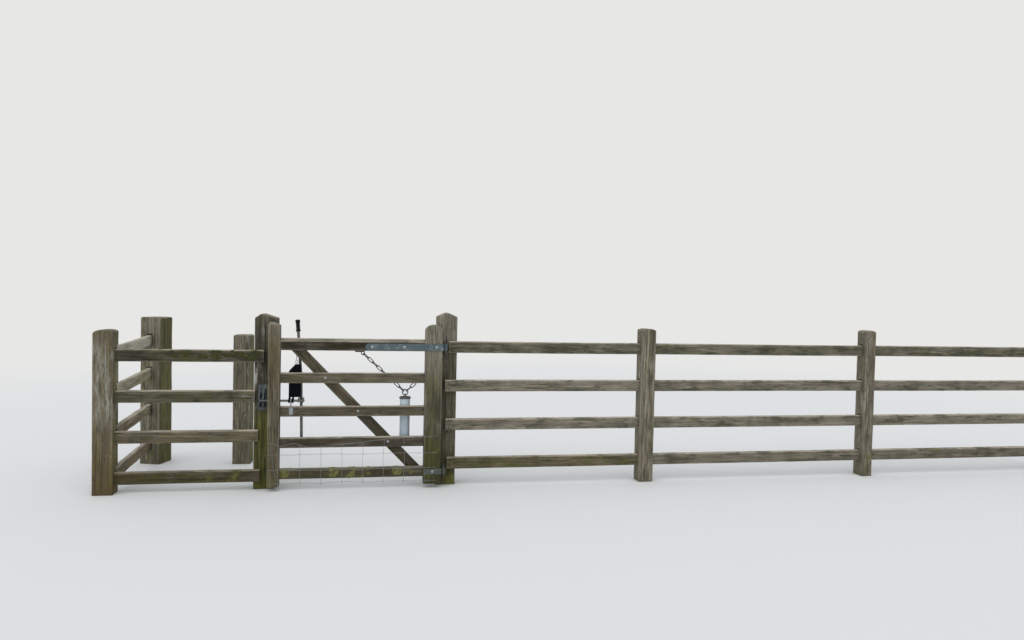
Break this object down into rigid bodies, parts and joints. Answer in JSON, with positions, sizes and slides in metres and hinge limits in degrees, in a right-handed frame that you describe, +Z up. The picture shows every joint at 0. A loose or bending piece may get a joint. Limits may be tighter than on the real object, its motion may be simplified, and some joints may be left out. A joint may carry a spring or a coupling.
{
  "type": "riding gate with railed pen and fence",
  "caption": "Timber gate on hook hinges with a long lever latch and a chain-and-weight closer, between square posts with a railed pen and a post-and-rail fence.",
  "frame": {"origin": "middle of the hanging post's foot, at ground level", "axes": "+X along the fence away from the gate, +Y away from the side the leaf hangs on, +Z up"},
  "size_m": [7.8215, 1.1495, 1.284],
  "materials": {
    "gate_timber": "weathered",
    "mossy_timber": "moss grown",
    "fence_timber": "weathered",
    "lichened_timber": "lichened",
    "bleached_timber": "bleached",
    "galvanised": "dull galvanised",
    "black_iron": "black painted",
    "chain_iron": "rusted",
    "painted_weight": "matt",
    "grip": "matt"
  },
  "bodies": {
    "posts_and_fence": {"hanging_post": "gate_timber", "clapping_post": "mossy_timber", "fence_post_near": "fence_timber", "fence_post_middle": "fence_timber", "fence_post_far": "fence_timber", "pen_front_post": "lichened_timber", "pen_rear_left_post": "lichened_timber", "pen_rear_right_post": "fence_timber", "fence_rails_near": "fence_timber", "fence_rails_middle": "fence_timber", "fence_rails_far": "fence_timber", "pen_front_rails": "mossy_timber", "pen_side_rails": "bleached_timber", "top_hook": "galvanised", "bottom_hook": "galvanised", "latch_catch": "galvanised", "post_chain_eye": "galvanised"},
    "leaf": {"slam_stile": "gate_timber", "hanging_stile": "gate_timber", "top_rail": "gate_timber", "second_rail": "gate_timber", "third_rail": "gate_timber", "fourth_rail": "gate_timber", "bottom_rail": "gate_timber", "brace": "gate_timber", "top_hinge_strap": "galvanised", "bottom_hinge_band": "galvanised", "chain_bracket": "chain_iron", "latch_housing": "black_iron", "lever_bracket": "galvanised", "oval_plate": "galvanised", "wire_netting": "galvanised"},
    "lever": {"latch_lever": "galvanised", "lever_grip": "grip"},
    "bolt": {"latch_bolt": "galvanised"},
    "leaf_half_chain": {"leaf_chain": "chain_iron"},
    "post_half_chain": {"post_chain": "chain_iron"},
    "hanging_weight": {"closer_weight": "painted_weight", "weight_lid": "black_iron", "weight_ring": "chain_iron"}
  },
  "joints": [
    {"name": "gate_hinge", "type": "hinge", "parent": "posts_and_fence", "child": "leaf", "pos_m": [-0.017, -0.1275, 0], "axis": [0, 0, 1], "range_deg": [0, 80]},
    {"name": "latch_lever_pivot", "type": "hinge", "parent": "leaf", "child": "lever", "pos_m": [-1.037, -0.072, 0.342], "axis": [0, 1, 0], "range_deg": [0, 9], "stiffness_Nm_per_rad": 15, "springref_deg": -11.46},
    {"name": "latch_bolt_slide", "type": "slide", "parent": "leaf", "child": "bolt", "axis": [1, 0, 0], "range_m": [0, 0.047]},
    {"name": "leaf_chain_swing", "type": "hinge", "parent": "leaf", "child": "leaf_half_chain", "pos_m": [-0.612, -0.078, 0.98], "axis": [0.8288, -0.3196, -0.4593], "range_deg": [0, 46]},
    {"name": "weight_swing", "type": "hinge", "parent": "leaf_half_chain", "child": "hanging_weight", "pos_m": [-0.303, -0.0626, 0.692], "axis": [0.8288, -0.3196, -0.4593], "range_deg": [-46, 0]},
    {"name": "post_chain_swing", "type": "hinge", "parent": "posts_and_fence", "child": "post_half_chain", "pos_m": [-0.092, -0.052, 0.878], "axis": [0.3152, -0.2139, -0.9246], "range_deg": [-77, 0]}
  ],
  "couplings": [
    {"joint": "latch_bolt_slide", "follows": "latch_lever_pivot", "m_per_rad": 0.299},
    {"joint": "leaf_chain_swing", "follows": "gate_hinge", "ratio": 0.567},
    {"joint": "weight_swing", "follows": "gate_hinge", "ratio": -0.567},
    {"joint": "post_chain_swing", "follows": "gate_hinge", "ratio": -0.9542}
  ]
}
